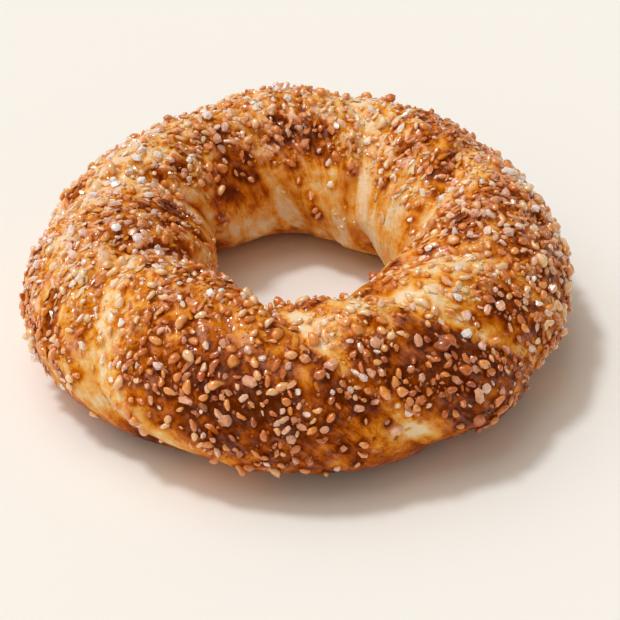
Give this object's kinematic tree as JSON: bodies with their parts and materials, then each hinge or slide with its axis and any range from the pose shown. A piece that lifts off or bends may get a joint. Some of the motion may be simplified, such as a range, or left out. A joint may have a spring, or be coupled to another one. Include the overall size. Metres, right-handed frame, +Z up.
{
  "type": "simit",
  "caption": "Round bread ring of twisted dough with an open middle and a flat base, its glossy browned crust covered with toasted seeds and grains of salt.",
  "frame": {"origin": "middle of the ring at its flat base, centred on its outer size", "axes": "+Z up out of the base; -Y is the front of the ring as it lies, +X its right"},
  "size_m": [0.1496, 0.149, 0.0427],
  "materials": {
    "crust": "glossy baked dough, amber to dark reddish brown, pale cream in the folds",
    "toasted_seed": "smooth toasted seed, amber",
    "salt": "clear pinkish crystal",
    "crumb": "thin broken flakes and crumbs"
  },
  "bodies": {
    "root": {"bread_ring": "crust"}
  },
  "joints": []
}
